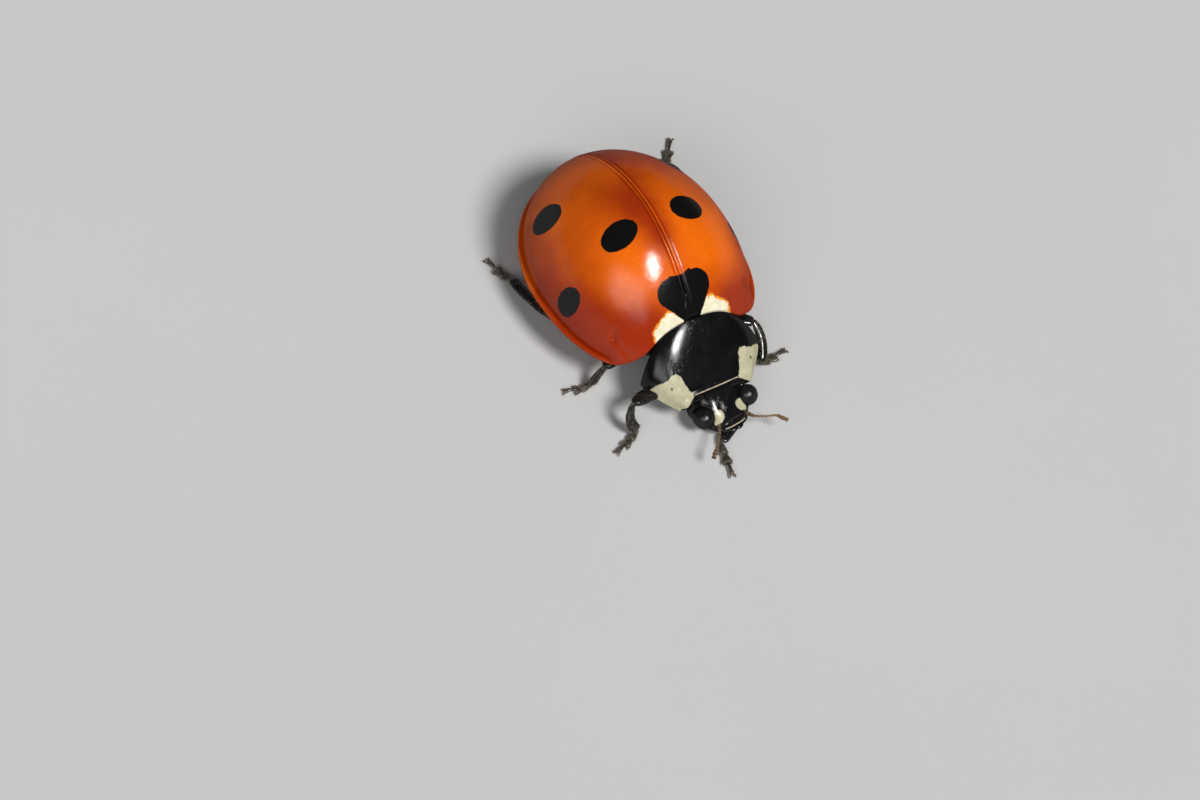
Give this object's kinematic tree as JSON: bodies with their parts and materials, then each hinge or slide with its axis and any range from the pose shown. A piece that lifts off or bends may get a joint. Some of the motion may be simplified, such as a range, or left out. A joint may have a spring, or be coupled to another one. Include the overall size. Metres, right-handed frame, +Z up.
{
  "type": "seven-spot ladybird",
  "caption": "Life-size still model of a walking seven-spot ladybird: domed red wing cases with black spots, black head shield with cream patches, head held low.",
  "frame": {"origin": "on the floor under the midline of the body, halfway between the foremost and the hindmost foot", "axes": "+Z up, head towards -Y, the insect's left side towards +X"},
  "size_m": [0.0066, 0.0098, 0.004],
  "materials": {
    "wing_case_red": "glossy orange-red shell with black spots and cream marks at the front",
    "black_cuticle": "glossy black shell, cream patches on the front corners of the pronotum and on the head",
    "eye_black": "glossy black, finely faceted",
    "feeler_brown": "satin yellowish brown",
    "leg_black": "satin black with short pale bristles",
    "foot_brown": "dark brown with a pale brush of bristles under it"
  },
  "bodies": {
    "root": {"elytron_left": "wing_case_red", "elytron_right": "wing_case_red", "scutellum": "black_cuticle", "mesothorax": "black_cuticle", "metathorax": "black_cuticle", "abdomen_1": "black_cuticle", "abdomen_2": "black_cuticle", "abdomen_3": "black_cuticle", "abdomen_4": "black_cuticle", "abdomen_5": "black_cuticle", "pronotum": "black_cuticle", "prothorax": "black_cuticle", "head": "black_cuticle", "labrum": "black_cuticle", "eye_left": "eye_black", "palp_left": "feeler_brown", "antenna_left_scape": "feeler_brown", "antenna_left_stem": "feeler_brown", "antenna_left_club": "feeler_brown", "eye_right": "eye_black", "palp_right": "feeler_brown", "antenna_right_scape": "feeler_brown", "antenna_right_stem": "feeler_brown", "antenna_right_club": "feeler_brown", "leg_front_right_coxa": "leg_black", "leg_front_right_femur": "leg_black", "leg_front_right_tibia": "leg_black", "leg_front_right_tarsus": "foot_brown", "leg_front_left_coxa": "leg_black", "leg_front_left_femur": "leg_black", "leg_front_left_tibia": "leg_black", "leg_front_left_tarsus": "foot_brown", "leg_middle_right_coxa": "leg_black", "leg_middle_right_femur": "leg_black", "leg_middle_right_tibia": "leg_black", "leg_middle_right_tarsus": "foot_brown", "leg_middle_left_coxa": "leg_black", "leg_middle_left_femur": "leg_black", "leg_middle_left_tibia": "leg_black", "leg_middle_left_tarsus": "foot_brown", "leg_hind_right_coxa": "leg_black", "leg_hind_right_femur": "leg_black", "leg_hind_right_tibia": "leg_black", "leg_hind_right_tarsus": "foot_brown", "leg_hind_left_coxa": "leg_black", "leg_hind_left_femur": "leg_black", "leg_hind_left_tibia": "leg_black", "leg_hind_left_tarsus": "foot_brown"}
  },
  "joints": []
}
